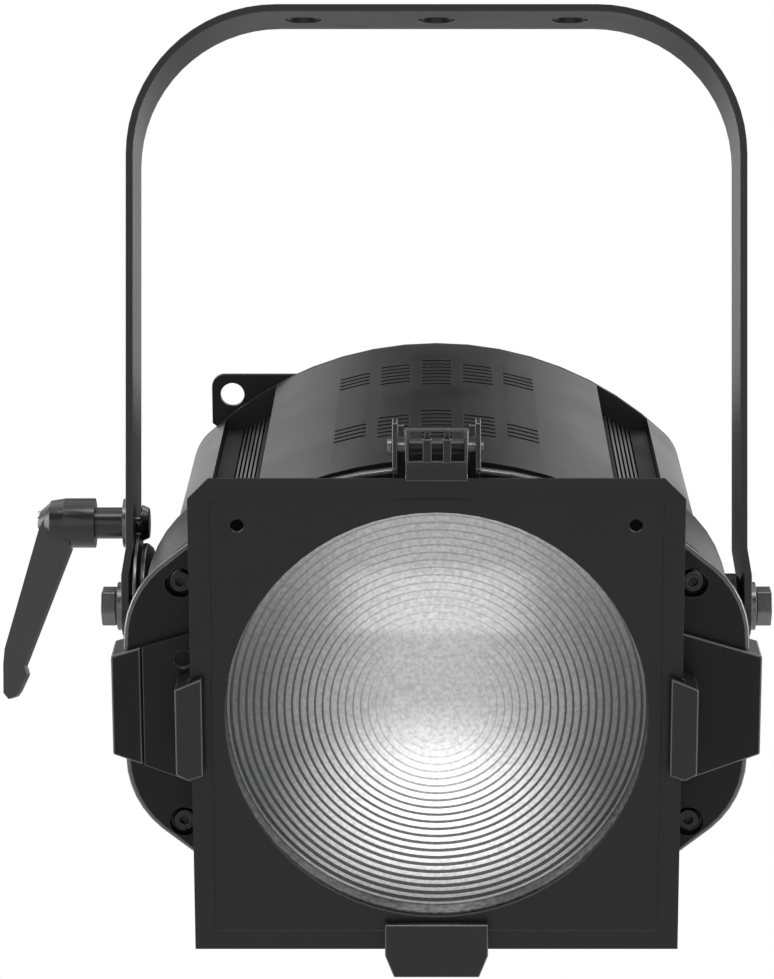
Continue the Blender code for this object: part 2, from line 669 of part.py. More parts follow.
def build_latch(head):
    """A hinged catch that stands in front of the colour frame's top edge."""
    pin = (LATCH_PIN_Y, LATCH_PIN_Z)
    base = box((-16.8, -143.0, 86.6), (16.8, BEZEL_FRONT - CLEAR, BRACKET_BASE_TOP))
    bracket = place("latch_bracket", base, "black", head)
    ear = [(-141.5, 96.6), (-156.0, 96.6), (-161.0, 100.0), (-161.0, 110.0), (-156.0, 117.0), (-141.5, 117.0)]
    for start, end in ((-16.8, -12.3), (12.3, 16.8)):
        join(bracket, prism("X", [ear], start, end))
    cut(bracket, cylinder("X", pin, LATCH_PIN_R + CLEAR, -20.0, 20.0, 20))
    bar = place("latch_pin", cylinder("X", pin, LATCH_PIN_R, -18.0, 18.0, 20), "blacked", head)
    join(bar, cylinder("X", pin, 3.3, -18.8, -17.1, 20))
    plate = box((-11.8, -163.0, 95.4), (11.8, -160.2, 115.9))
    latch = place("top_latch", plate, "black", head, (0.0, pin[0], pin[1]))
    join(latch, box((-11.8, -160.6, 112.6), (11.8, pin[0] - 1.0, 115.2)))
    join(latch, box((-11.8, pin[0] - 2.0, pin[1]), (11.8, pin[0] + 1.0, 115.2)))
    join(latch, cylinder("X", pin, 4.6, -11.8, 11.8, 24))
    for low, high in ((-10.4, -5.5), (-1.6, 2.2), (5.6, 10.6)):
        cut(latch, box((low, -165.0, 103.2), (high, -159.0, 111.8)))
    cut(latch, cylinder("X", pin, LATCH_PIN_R + CLEAR, -20.0, 20.0, 20))


def build_rear_housing(head):
    start = SHELL_REAR + END_PLATE_THICK + 2 * CLEAR
    outer = full_section(92.0, 60.0, 160.0, 25.0)
    inner = full_section(89.5, 57.5, 157.5, 22.5)
    place("rear_housing", prism("Y", [outer, inner], start, HOUSING_REAR), "matt", head)
    panel_outline = full_section(89.1, 57.1, 157.1, 22.1)
    mesh = prism("Y", [panel_outline], HOUSING_REAR - 4.0, HOUSING_REAR - 1.0)
    panel = place("rear_panel", mesh, "black", head)
    for x, z in button_places():
        cut(panel, cylinder("Y", (x, z), 4.9, HOUSING_REAR - 6.0, HOUSING_REAR + 1.0, 24))
    outline = [(-32.0, 14.0), (32.0, 14.0), (32.0, 46.0), (-32.0, 46.0)]
    face = HOUSING_REAR - 1.0 + CLEAR
    place("display_window", prism("Y", [outline], face, face + 1.6), "glass", head)


def button_places():
    return [(-27.0, 3.0), (-9.0, 3.0), (9.0, 3.0), (27.0, 3.0)]


def build_buttons(head):
    for number, (x, z) in enumerate(button_places(), 1):
        start = HOUSING_REAR - 8.0
        cap = cylinder("Y", (x, z), 4.5, start, HOUSING_REAR + 1.5, 24)
        button = place("menu_button_" + str(number), cap, "plastic", head, (x, start, z))
        join(button, cylinder("Y", (x, z), 6.0, start - 1.5, start + 1.0, 24))


def build_connectors(head):
    """Power and data sockets in a row below the buttons, and the fuse holder between them."""
    face = HOUSING_REAR - 1.0 + CLEAR
    sockets = (("power_inlet", -56.0, 11.5, "plastic"), ("power_outlet", -26.0, 11.5, "plastic"),
               ("data_inlet", 26.0, 10.5, "zinc"), ("data_outlet", 56.0, 10.5, "zinc"))
    middle_z = -24.0
    for name, x, radius, finish in sockets:
        flange = box((x - 13.0, face, middle_z - 15.0), (x + 13.0, face + 2.4, middle_z + 15.0))
        socket = place(name, flange, finish, head)
        join(socket, cylinder("Y", (x, middle_z), radius, face + 1.0, face + 10.0, 32))
        cut(socket, cylinder("Y", (x, middle_z), radius - 2.5, face + 3.4, face + 12.0, 32))
    fuse = place("fuse_holder", cylinder("Y", (0.0, middle_z), 7.5, face, face + 9.0, 32), "plastic", head)
    cut(fuse, box((-6.0, face + 7.4, middle_z - 1.0), (6.0, face + 12.0, middle_z + 1.0)))


def build_carriage(head):
    """The LED engine on its sliding plate, the rods and screw that guide it, and the motor."""
    half = [(96.0, 42.0), (96.0, -42.0), (34.0, -82.0)]
    outline = half + [(-x, z) for x, z in reversed(half)]
    carriage = place("zoom_carriage", prism("Y", [outline], 33.0, 37.4), "alloy", head)
    for side in (-1, 1):
        join(carriage, cylinder("Y", (side * ROD_X, ROD_Z), 7.5, 30.0, 48.0, 24))
        cut(carriage, cylinder("Y", (side * ROD_X, ROD_Z), ROD_R + CLEAR, 20.0, 60.0, 24))
    cut(carriage, cylinder("Y", (0.0, SCREW_Z), SCREW_R + CLEAR, 20.0, 60.0, 24))
    board = place("led_board", cylinder("Y", (0.0, 0.0), 38.0, 29.6, 32.7, 40), "board", head)
    join(board, cylinder("Y", (0.0, 0.0), 22.0, 27.5, 30.5, 32))
    fins = 10
    pitch = 9.6
    comb = [(48.0, 44.0), (-48.0, 44.0)]
    for step in range(fins):
        left = -48.0 + step * pitch
        comb += [(left, 76.0), (left + 3.0, 76.0)]
        if step < fins - 1:
            comb += [(left + 3.0, 50.0), (left + pitch, 50.0)]
    comb[0] = (-48.0 + (fins - 1) * pitch + 3.0, 44.0)
    sink = prism("Z", [comb], -46.0, 46.0)
    sink.transform(Matrix.Translation((0.0, -6.2 * MM, 0.0)))
    place("led_heat_sink", sink, "alloy", head)
    for side, word in ((-1, "left"), (1, "right")):
        rod = cylinder("Y", (side * ROD_X, ROD_Z), ROD_R, SHELL_FRONT + CLEAR, SHELL_REAR, 24)
        place("guide_rod_" + word, rod, "zinc", head)
    screw = cylinder("Y", (0.0, SCREW_Z), SCREW_R, -66.0, MOTOR_FRONT - CLEAR, 20)
    place("lead_screw", screw, "zinc", head, (0.0, 0.0, SCREW_Z))
    motor = box((-14.0, MOTOR_FRONT, SCREW_Z - 14.0), (14.0, SHELL_REAR - 1.0, SCREW_Z + 14.0))
    place("zoom_motor", motor, "blacked", head)


def build_fan(head):
    """An 80 mm axial fan: its square frame with three spokes, and the bladed rotor in it."""
    back = FAN_FRONT + 15.0
    made = place("fan_frame", box((-40.0, FAN_FRONT, -40.0), (40.0, back, 40.0)), "plastic", head)
    cut(made, cylinder("Y", (0.0, 0.0), 37.5, FAN_FRONT - 2.0, back - 3.0, 40))
    windows = 3
    for step in range(windows):
        turn = 360.0 / windows * step
        outline = arc((0.0, 0.0), 36.5, turn - 20.0, turn + 60.0, 10)
        outline += arc((0.0, 0.0), 15.0, turn + 60.0, turn - 20.0, 6)
        cut(made, prism("Y", [outline], back - 4.0, back + 2.0))
    blades = 7
    outline = []
    for step in range(blades):
        turn = 360.0 / blades * step
        outline += arc((0.0, 0.0), 36.0, turn + 4.0, turn + 22.0, 4)
        outline += arc((0.0, 0.0), 14.0, turn + 22.0, turn + 44.0, 4)
    rotor = prism("Y", [outline], FAN_FRONT + 1.0, back - 4.4)
    place("fan_rotor", rotor, "plastic", head)


def build_driver(head):
    """The driver board in the rear housing, with three tall components on it."""
    front = SHELL_REAR + 25.0
    low_z = -32.0
    board = box((-70.0, front, low_z), (70.0, front + 60.0, low_z + 1.8))
    driver = place("driver_board", board, "board", head)
    blocks = ((-60.0, 5.0, 40.0, 45.0), (-10.0, 10.0, 25.0, 25.0), (25.0, 8.0, 30.0, 34.0))
    for x, y, wide, deep in blocks:
        near = (x, front + y, low_z + 1.0)
        join(driver, box(near, (x + wide, front + y + deep, low_z + 23.0)))


def build():
    head = add_empty("tilt_axis", (0.0, 0.0, -PIVOT_DROP), HEAD_TILT)
    build_yoke()
    lock_centre = (0.0, LOCK_RISE - PIVOT_DROP)
    build_lock_bolt(lock_centre)
    build_lock_lever(lock_centre)
    build_friction_disc(head)
    for side, word in ((-1, "left"), (1, "right")):
        build_pivot(side, word)
        build_hub(head, side, word)
        build_heat_sink(head, side, word)
        build_side_shell(head, side, word)
        build_side_clip(head, side, word)
    build_top_cover(head)
    build_bottom_cover(head)
    build_end_plate(head)
    build_safety_tab(head)
    build_front_bezel(head)
    build_bezel_screws(head)
    build_lens(head)
    build_holder_arms(head)
    build_bottom_clip(head)
    build_colour_frame(head)
    build_latch(head)
    build_rear_housing(head)
    build_buttons(head)
    build_connectors(head)
    build_carriage(head)
    build_fan(head)
    build_driver(head)


build()
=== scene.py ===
"""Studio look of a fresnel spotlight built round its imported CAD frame.

Lengths are in metres. Pieces of the head are modelled in the head's own axes, with the lens facing
-Y and the origin on the tilt axis, and then turned nose down with the head.
"""
import json
import math

import bmesh
import bpy
from mathutils import Matrix, Vector


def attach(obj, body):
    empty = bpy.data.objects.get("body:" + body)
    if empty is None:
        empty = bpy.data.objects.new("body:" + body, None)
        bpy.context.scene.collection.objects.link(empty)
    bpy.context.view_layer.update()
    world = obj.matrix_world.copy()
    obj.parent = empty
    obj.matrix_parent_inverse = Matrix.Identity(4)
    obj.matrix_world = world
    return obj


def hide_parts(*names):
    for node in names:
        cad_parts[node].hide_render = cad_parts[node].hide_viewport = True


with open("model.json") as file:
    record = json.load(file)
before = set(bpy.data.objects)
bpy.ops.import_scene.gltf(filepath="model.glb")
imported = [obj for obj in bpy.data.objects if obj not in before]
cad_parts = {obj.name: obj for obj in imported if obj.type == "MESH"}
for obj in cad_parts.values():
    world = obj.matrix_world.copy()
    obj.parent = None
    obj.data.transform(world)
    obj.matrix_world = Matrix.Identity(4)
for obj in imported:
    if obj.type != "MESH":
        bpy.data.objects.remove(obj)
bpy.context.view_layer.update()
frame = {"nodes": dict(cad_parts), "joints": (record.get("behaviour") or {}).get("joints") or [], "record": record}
nodes = frame["nodes"]
joint_of = {joint["name"]: joint for joint in frame["joints"]}
slot_of = {part["node"]: part["material_slot"] for part in frame["record"]["subparts"]}

MM = 0.001
TILT = math.radians(16.5)
PIVOT = Vector(joint_of["head_tilt"]["pos_m"])
HEAD = Matrix.Translation(PIVOT) @ Matrix.Rotation(TILT, 4, "X")

# shared sizes, in millimetres in the head's axes
LENS_FRONT = -145.0
LENS_BACK = -128.3
LENS_R = 82.0
LENS_SKIRT_R = 76.0
LENS_WALL = 6.0
LENS_FLANGE_R = 85.6
LENS_FLANGE_FRONT = -133.0
LENS_RINGS = 27
RIDGE_PITCH = 3.0
RIDGE_LIP = 0.05
PANEL_FACE = 204.0
LATCH_PIN = (-150.0, 105.7)
BEZEL_FACE = -140.0
BEZEL_SCREW = (99.8, 49.0)
SOCKET_ROW_Z = -24.0
WELD_DISTANCE = 0.0001

# the stipple of the lens glass, in cycles a metre
STIPPLE = 620.0

# colour sockets of a Mix node, which has other sockets of the same names
MIX_A, MIX_B, MIX_RESULT = 6, 7, 2


# camera, floor and light

def add_camera():
    """A level long-lens camera in front of the lamp, on its middle plane."""
    lens = bpy.data.cameras.new("camera")
    lens.lens = 140.0
    lens.sensor_width = 36.0
    lens.shift_x = -0.0506
    lens.shift_y = 0.1639
    lens.clip_end = 50.0
    camera = bpy.data.objects.new("camera", lens)
    camera.location = (0.0, -1.6287, -0.2725)
    camera.rotation_euler = (math.radians(90.0), 0.0, 0.0)
    bpy.context.scene.collection.objects.link(camera)
    bpy.context.scene.camera = camera


class Tree:
    """Short calls for adding nodes to one node tree."""

    def __init__(self, tree):
        self.tree = tree

    def add(self, kind, inputs=None, **settings):
        made = self.tree.nodes.new(kind)
        for key, value in settings.items():
            setattr(made, key, value)
        for key, value in (inputs or {}).items():
            if isinstance(value, bpy.types.NodeSocket):
                self.tree.links.new(value, made.inputs[key])
            else:
                made.inputs[key].default_value = value
        return made

    def math(self, operation, first, second=0.0):
        made = self.add("ShaderNodeMath", {0: first, 1: second}, operation=operation)
        return made.outputs[0]

    def ramp(self, value, low, high, start=0.0, end=1.0):
        """A smooth step of a value from start to end."""
        limits = {0: value, 1: low, 2: high, 3: start, 4: end}
        made = self.add("ShaderNodeMapRange", limits, interpolation_type="SMOOTHSTEP")
        return made.outputs[0]


def add_world():
    """A white room for the camera, and for light a soft box overhead, pale sides and a dim back."""
    world = bpy.data.worlds.new("studio")
    bpy.context.scene.world = world
    world.use_nodes = True
    tree = Tree(world.node_tree)
    background = world.node_tree.nodes["Background"]
    direction = tree.add("ShaderNodeTexCoord").outputs["Generated"]
    axes = tree.add("ShaderNodeSeparateXYZ", {0: direction})
    across, along, up = axes.outputs
    aside = tree.math("ABSOLUTE", across)
    beside = tree.ramp(aside, 0.05, 0.30, 0.02, 1.25)
    behind = tree.ramp(along, -0.55, 0.15, 0.10, 1.0)
    above = tree.ramp(up, -0.2, 0.15, 0.12, 1.0)
    raised = tree.math("MULTIPLY", behind, above)
    sides = tree.math("MULTIPLY", beside, raised)
    level = tree.ramp(tree.math("ABSOLUTE", up), 0.36, 0.20)
    front = tree.math("MULTIPLY", tree.ramp(along, -0.80, -0.93, 0.0, 1.3), level)
    overhead = tree.ramp(up, 0.62, 0.92, 0.0, 0.9)
    light = tree.math("ADD", tree.math("ADD", sides, front), overhead)
    seen = tree.add("ShaderNodeLightPath").outputs["Is Camera Ray"]
    strength = tree.add("ShaderNodeMix", {"Factor": seen, "A": light, "B": 1.0}, data_type="FLOAT")
    world.node_tree.links.new(strength.outputs["Result"], background.inputs["Strength"])
    background.inputs["Color"].default_value = (1.0, 1.0, 1.0, 1.0)


def add_softbox(name, place, aim, size, power):
    lamp = bpy.data.lights.new(name, "AREA")
    lamp.shape = "RECTANGLE"
    lamp.size, lamp.size_y = size
    lamp.energy = power
    box = bpy.data.objects.new(name, lamp)
    box.location = place
    box.rotation_euler = (Vector(aim) - Vector(place)).to_track_quat("-Z", "Y").to_euler()
    bpy.context.scene.collection.objects.link(box)


def add_floor():
    shape = bmesh.new()
    bmesh.ops.create_grid(shape, x_segments=1, y_segments=1, size=6.0)
    mesh = bpy.data.meshes.new("floor")
    shape.to_mesh(mesh)
    shape.free()
    floor = bpy.data.objects.new("floor", mesh)
    floor.location = (0.0, 0.0, -1.2)
    bpy.context.scene.collection.objects.link(floor)
    mesh.materials.append(surface("floor_white", (0.62, 0.62, 0.62), 0.8, grain=40.0, relief=0.01,
                                  mottle=0.008))


# materials

def surface(name, colour, roughness, metallic=0.0, grain=900.0, relief=0.05, mottle=0.12,
            stretch=(1.0, 1.0, 1.0), specular=0.5):
    """A finish with fine grain in its relief, and slow drifts in its colour and its gloss."""
    made = bpy.data.materials.new(name)
    made.use_nodes = True
    tree = Tree(made.node_tree)
    shader = made.node_tree.nodes["Principled BSDF"]
    place = tree.add("ShaderNodeTexCoord").outputs["Object"]
    turned = tree.add("ShaderNodeMapping", {"Vector": place, "Rotation": (-TILT, 0.0, 0.0),
                                            "Scale": stretch}).outputs[0]
    fine_noise = {"Vector": turned, "Scale": grain, "Detail": 3.0}
    slow_noise = {"Vector": place, "Scale": 22.0, "Detail": 4.0}
    fine = tree.add("ShaderNodeTexNoise", fine_noise).outputs[0]
    slow = tree.add("ShaderNodeTexNoise", slow_noise).outputs[0]
    drift = {1: 0.3, 2: 0.7, 3: 1.0 - mottle, 4: 1.0 + mottle}
    shade = tree.add("ShaderNodeMapRange", {0: slow, **drift})
    speck = tree.add("ShaderNodeMapRange", {0: fine, **drift})
    both = tree.math("MULTIPLY", shade.outputs[0], speck.outputs[0])
    tint = tree.add("ShaderNodeVectorMath", {0: colour, "Scale": both}, operation="SCALE")
    made.node_tree.links.new(tint.outputs[0], shader.inputs["Base Color"])
    gloss = tree.add("ShaderNodeMapRange",
                     {0: slow, 1: 0.3, 2: 0.7, 3: roughness * 0.9, 4: roughness * 1.12})
    made.node_tree.links.new(gloss.outputs[0], shader.inputs["Roughness"])
    bump = tree.add("ShaderNodeBump", {"Height": fine, "Strength": relief, "Distance": 0.0006})
    made.node_tree.links.new(bump.outputs[0], shader.inputs["Normal"])
    shader.inputs["Metallic"].default_value = metallic
    shader.inputs["Specular IOR Level"].default_value = specular
    made.diffuse_color = (*colour, 1.0)
    return made


def head_axes(tree):
    """Sockets with x and z in the head's own axes, in metres."""
    place = tree.add("ShaderNodeTexCoord").outputs["Object"]
    back = Matrix.Rotation(-TILT, 4, "X") @ (-PIVOT)
    local = tree.add("ShaderNodeMapping",
                     {"Vector": place, "Location": back, "Rotation": (-TILT, 0.0, 0.0)})
    axes = tree.add("ShaderNodeSeparateXYZ", {0: local.outputs[0]})
    return axes.outputs[0], axes.outputs[2]


def radius_from(tree, x, z, centre_z, stretch=1.0):
    """Distance from a point on the head's middle plane, with the z side stretched."""
    height = tree.math("MULTIPLY", tree.math("SUBTRACT", z, centre_z * MM), stretch)
    squares = tree.math("MULTIPLY", x, x), tree.math("MULTIPLY", height, height)
    return tree.math("SQRT", tree.math("ADD", *squares))


def painted_lens_light(tree):
    """Painted light in the lens, since nothing behind it is lit: a painted glow as a bright spot below the middle,
    a soft painted glow round the middle, a painted reflection of the soft box as a pale area above it, and painted
    shade towards the foot.

    Returns the painted light, the distance from the middle of the rings, and the height.
    """
    x, z = head_axes(tree)
    aside = tree.math("ABSOLUTE", x)
    painted_hot_spot = tree.ramp(radius_from(tree, x, z, -48.0, 1.3), 0.008, 0.073, 0.95, 0.0)
    painted_haze = tree.ramp(radius_from(tree, x, z, 0.0), 0.012, 0.078, 0.42, 0.115)
    painted_upper_glow = tree.math("MULTIPLY", tree.ramp(z, 0.010, 0.066, 0.0, 0.25),
                      tree.ramp(aside, 0.075, 0.015, 0.35, 1.0))
    # painted reflection of the soft box, in a band above the middle of the lens
    reflection_band = tree.math("MULTIPLY", tree.ramp(z, 0.027, 0.034), tree.ramp(z, 0.060, 0.051))
    painted_reflection = tree.math("MULTIPLY", reflection_band, tree.ramp(aside, 0.046, 0.024, 0.0, 0.15))
    painted_total = tree.math("ADD", tree.math("ADD", painted_hot_spot, painted_haze), tree.math("ADD", painted_upper_glow, painted_reflection))
    # painted shade: the painted glow is darker towards the foot of the lens
    foot = tree.ramp(z, -0.084, -0.060, 0.55, 1.0)
    return tree.math("MULTIPLY", painted_total, foot), radius_from(tree, x, z, 5.0), z


def glass_with_painted_glow(name, groove=False):
    """Stippled moulded glass with painted light in its emission: a painted glow and a painted reflection, though
    nothing behind it is lit. The grooves get less of the painted glow, as painted shade that is darkest near the
    rim.
    """
    made = surface(name, (0.05, 0.05, 0.052), 0.30, grain=STIPPLE, relief=0.35, mottle=0.16)
    tree = Tree(made.node_tree)
    shader = made.node_tree.nodes["Principled BSDF"]
    light, radius, z = painted_lens_light(tree)
    place = tree.add("ShaderNodeTexCoord").outputs["Object"]
    noise = {"Vector": place, "Scale": STIPPLE, "Detail": 2.0}
    stipple = tree.add("ShaderNodeTexNoise", noise).outputs[0]
    sparkle = tree.add("ShaderNodeMapRange", {0: stipple, 1: 0.3, 2: 0.7, 3: 0.80, 4: 1.18})
    strength = tree.math("MULTIPLY", light, sparkle.outputs[0])
    # painted shade in the grooves: less of the painted glow, least near the rim and more towards the top
    if groove:
        depth = tree.math("ADD", tree.ramp(radius, 0.012, 0.052, 0.94, 0.10),
                          tree.ramp(z, 0.0, 0.055, 0.0, 0.48))
        strength = tree.math("MULTIPLY", strength, tree.math("MINIMUM", depth, 0.95))
    made.node_tree.links.new(strength, shader.inputs["Emission Strength"])
    shader.inputs["Emission Color"].default_value = (1.0, 1.0, 1.0, 1.0)
    return made


def board_green(name):
    """Green solder mask with a fine pattern of tracks under it."""
    made = surface(name, (0.02, 0.11, 0.05), 0.4, grain=500.0, relief=0.03)
    tree = Tree(made.node_tree)
    shader = made.node_tree.nodes["Principled BSDF"]
    place = tree.add("ShaderNodeTexCoord").outputs["Object"]
    cells = tree.add("ShaderNodeTexVoronoi", {"Vector": place, "Scale": 260.0},
                     distance="MANHATTAN")
    track = tree.ramp(cells.outputs["Distance"], 0.42, 0.5)
    mix = tree.add("ShaderNodeMix", {"Factor": track}, data_type="RGBA")
    mix.inputs[MIX_A].default_value = (0.018, 0.10, 0.045, 1.0)
    mix.inputs[MIX_B].default_value = (0.05, 0.22, 0.10, 1.0)
    made.node_tree.links.new(mix.outputs[MIX_RESULT], shader.inputs["Base Color"])
    return made


def screen_glow(name):
    """Pale blue pixels of a small menu display."""
    made = surface(name, (0.30, 0.45, 0.52), 0.3, grain=900.0, relief=0.02)
    tree = Tree(made.node_tree)
    shader = made.node_tree.nodes["Principled BSDF"]
    place = tree.add("ShaderNodeTexCoord").outputs["Object"]
    cells = tree.add("ShaderNodeTexVoronoi", {"Vector": place, "Scale": 1500.0})
    pixels = tree.ramp(cells.outputs["Distance"], 0.2, 0.8, 0.55, 0.25)
    made.node_tree.links.new(pixels, shader.inputs["Emission Strength"])
    shader.inputs["Emission Color"].default_value = (0.55, 0.85, 1.0, 1.0)
    return made


# grain drawn out along the head
ALONG_HEAD = (1.0, 0.03, 1.0)

LOOKS = {
    "black_paint": surface("black_paint", (0.0105, 0.0105, 0.011), 0.36, relief=0.07,
                           specular=0.38),
    "matt_black": surface("matt_black", (0.008, 0.008, 0.0085), 0.62, grain=700.0, relief=0.08),
    "black_anodised": surface("black_anodised", (0.03, 0.03, 0.031), 0.36, 0.35, 700.0, 0.05,
                              0.15, ALONG_HEAD),
    "black_steel": surface("black_steel", (0.15, 0.15, 0.155), 0.34, 0.8, 1100.0, 0.04, 0.18),
    "zinc_steel": surface("zinc_steel", (0.66, 0.66, 0.65), 0.24, 1.0, 800.0, 0.03, 0.08),
    "display_glass": surface("display_glass", (0.012, 0.015, 0.018), 0.08, grain=300.0,
                             relief=0.005),
    "black_plastic": surface("black_plastic", (0.024, 0.024, 0.025), 0.48, grain=1500.0,
                             relief=0.10),
    "plain_alloy": surface("plain_alloy", (0.52, 0.52, 0.53), 0.33, 1.0, 600.0, 0.04, 0.07,
                           ALONG_HEAD),
    "circuit_board": board_green("circuit_board"),
    # the lens glass glows with painted light: a painted glow and a painted reflection
    "lens_glass": glass_with_painted_glow("lens_glass"),
}
# the lens grooves carry the same painted glow, dimmed as painted shade
GROOVE_DIMMED_GLOW = glass_with_painted_glow("lens_groove_dimmed_glow", groove=True)
SPECKLE = surface("speckled_wall", (0.16, 0.16, 0.165), 0.45, grain=420.0, relief=0.8, mottle=0.5)
SCREEN_GLOW = screen_glow("screen_glow")
FRAME_PAINT = surface("frame_paint", (0.009, 0.009, 0.0095), 0.36, relief=0.07, specular=0.32)
DARK_SCREW = surface("dark_screw", (0.03, 0.03, 0.031), 0.42, 0.7, 1100.0, 0.05, 0.2)
CAST = surface("cast_black", (0.0065, 0.0065, 0.007), 0.42, grain=800.0, relief=0.09, specular=0.22)
LEVER = surface("lever_enamel", (0.015, 0.015, 0.0155), 0.28, grain=500.0, relief=0.04)
# painted highlight for bevelled edges: paler than the paint round them, and glossier so they also reflect the
# lamps
PAINTED_EDGE_HIGHLIGHT = surface("painted_edge_highlight", (0.05, 0.05, 0.051), 0.2, relief=0.03, specular=1.0)
DARK_ZINC = surface("lock_bolt_steel", (0.10, 0.10, 0.10), 0.22, 1.0, 900.0, 0.03, 0.15)
BRASS = surface("brass_contact", (0.72, 0.52, 0.22), 0.3, 1.0, 900.0, 0.03, 0.08)


# carried-over CAD nodes

# bevel widths in millimetres; other nodes take DEFAULT_EDGE
DEFAULT_EDGE = 0.3
EDGE_BY_NODE = {
    "yoke": 0.5, "front_bezel": 1.4, "colour_frame": 0.5, "tilt_lock_lever": 1.0,
    "pivot_bolt_left": 0.7, "pivot_bolt_right": 0.7, "tilt_lock_bolt": 1.1,
    "rear_housing": 0.8, "rear_panel": 0.5, "side_clip_left": 0.6, "side_clip_right": 0.6,
    "bottom_clip": 0.5, "holder_arm_right": 0.7, "holder_pod_left": 0.7, "access_panel_left": 0.5,
    "heat_sink_left": 0.15, "heat_sink_right": 0.15, "top_cover": 0.2, "bottom_cover": 0.2,
    "lens_ring": 0.5, "zoom_motor": 0.8,
}

# nodes in these slots get the painted edge highlight on their bevels, except the ones listed next
EDGE_HIGHLIGHT_SLOTS = ("black_paint", "black_steel")
NO_EDGE_HIGHLIGHT = ("top_cover", "bottom_cover", "rear_panel")
LOOK_BY_NODE = {
    "tilt_lock_bolt": DARK_ZINC, "tilt_lock_lever": LEVER, "front_bezel": CAST,
    "holder_arm_right": CAST, "holder_pod_left": CAST, "access_panel_left": CAST,
    "colour_frame": FRAME_PAINT,
    "bezel_screw_1": DARK_SCREW, "bezel_screw_2": DARK_SCREW, "bezel_screw_3": DARK_SCREW,
    "bezel_screw_4": DARK_SCREW,
}


def round_edges(item, width, edge_look):
    """Weld the shading seams, drop flat diagonals, and round the hard edges a little."""
    weld = item.modifiers.new("weld", "WELD")
    weld.merge_threshold = 0.00001
    flat = item.modifiers.new("flat", "DECIMATE")
    flat.decimate_type = "DISSOLVE"
    flat.angle_limit = math.radians(0.6)
    bevel = item.modifiers.new("edges", "BEVEL")
    bevel.width = width * MM
    bevel.segments = 3
    bevel.limit_method = "ANGLE"
    bevel.angle_limit = math.radians(32.0)
    bevel.miter_outer = "MITER_ARC"
    # an edge_look of 1 gives the bevels the painted edge highlight
    bevel.material = edge_look
    smooth = item.modifiers.new("normals", "WEIGHTED_NORMAL")
    smooth.keep_sharp = False


def finish_nodes():
    """Give every CAD node its look and its rounded edges."""
    for name, item in nodes.items():
        item.data.materials.clear()
        item.data.materials.append(LOOK_BY_NODE.get(name, LOOKS[slot_of[name]]))
        edge_highlight = slot_of[name] in EDGE_HIGHLIGHT_SLOTS and name not in NO_EDGE_HIGHLIGHT
        if edge_highlight:
            item.data.materials.append(PAINTED_EDGE_HIGHLIGHT)
        round_edges(item, EDGE_BY_NODE.get(name, DEFAULT_EDGE), 1 if edge_highlight else -1)


# building helpers for new pieces

def add_piece(name, mesh, slot, body, looks=None, replaced=()):
    """A new piece from a mesh in millimetres in the head's axes, carried by a body."""
    mesh.transform(HEAD @ Matrix.Scale(MM, 4))
    mesh.name = name
    for look in looks or [LOOKS[slot]]:
        mesh.materials.append(look)
    piece = bpy.data.objects.new(name, mesh)
    bpy.context.scene.collection.objects.link(piece)
    if replaced:
        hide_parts(*replaced)
    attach(piece, body)
    return piece


def soften(piece, width, segments=3, edge_look=-1):
    """Round a new piece's hard edges, in another of its looks if wanted."""
    bevel = piece.modifiers.new("edges", "BEVEL")
    bevel.width = width * MM
    bevel.segments = segments
    bevel.limit_method = "ANGLE"
    bevel.angle_limit = math.radians(30.0)
    bevel.material = edge_look
    smooth = piece.modifiers.new("normals", "WEIGHTED_NORMAL")
    smooth.keep_sharp = False


def to_mesh(shape, smooth=True):
    bmesh.ops.recalc_face_normals(shape, faces=shape.faces)
    mesh = bpy.data.meshes.new("piece")
    shape.to_mesh(mesh)
    shape.free()
    if smooth:
        mesh.shade_smooth()
    return mesh


def smooth_below(mesh, degrees):
    """Shade a mesh smooth, and keep the edges that turn by more than an angle sharp."""
    mesh.shade_smooth()
    mesh.set_sharp_from_angle(angle=math.radians(degrees))


def spin_full(shape, points, pairs, centre, axis, steps):
    """Turn points and the edges between pairs of them a full turn round an axis."""
    edges = [shape.edges.new(pair) for pair in pairs]
    bmesh.ops.spin(shape, geom=points + edges, cent=centre, axis=axis, angle=math.tau,
                   steps=steps, use_merge=True)


def lathe(profile, steps, closed=False):
    """Turn (radius, y) points round the Y axis. An open profile starts and ends on the axis."""
    shape = bmesh.new()
    points = [shape.verts.new((radius, y, 0.0)) for radius, y in profile]
    pairs = list(zip(points, points[1:])) + ([(points[-1], points[0])] if closed else [])
    spin_full(shape, points, pairs, (0.0, 0.0, 0.0), (0.0, 1.0, 0.0), steps)
    bmesh.ops.remove_doubles(shape, verts=shape.verts, dist=WELD_DISTANCE)
    return shape


def bridge_loops(shape, loops):
    """Join each loop of vertices to the next one, and the last to the first."""
    for loop, following in zip(loops, loops[1:] + loops[:1]):
        for index in range(len(loop)):
            after = (index + 1) % len(loop)
            shape.faces.new((loop[index], loop[after], following[after], following[index]))


def add_box(shape, low, high):
    size = Vector(high) - Vector(low)
    middle = (Vector(high) + Vector(low)) * 0.5
    made = bmesh.ops.create_cube(shape, size=1.0)
    bmesh.ops.scale(shape, vec=size, verts=made["verts"])
    bmesh.ops.translate(shape, vec=middle, verts=made["verts"])


def add_bar(shape, centre, radius, start, end, sides):
    """A round bar along Y at (x, z)."""
    made = bmesh.ops.create_cone(shape, cap_ends=True, segments=sides, radius1=radius,
                                 radius2=radius, depth=end - start)
    turn = Matrix.Rotation(math.radians(90.0), 4, "X")
    bmesh.ops.transform(shape, matrix=turn, verts=made["verts"])
    bmesh.ops.translate(shape, vec=(centre[0], (start + end) * 0.5, centre[1]), verts=made["verts"])


# lens

def groove_width(ring_end):
    return 0.35 + 0.009 * ring_end


def groove_depth(ring_end):
    return 0.22 + 0.016 * ring_end


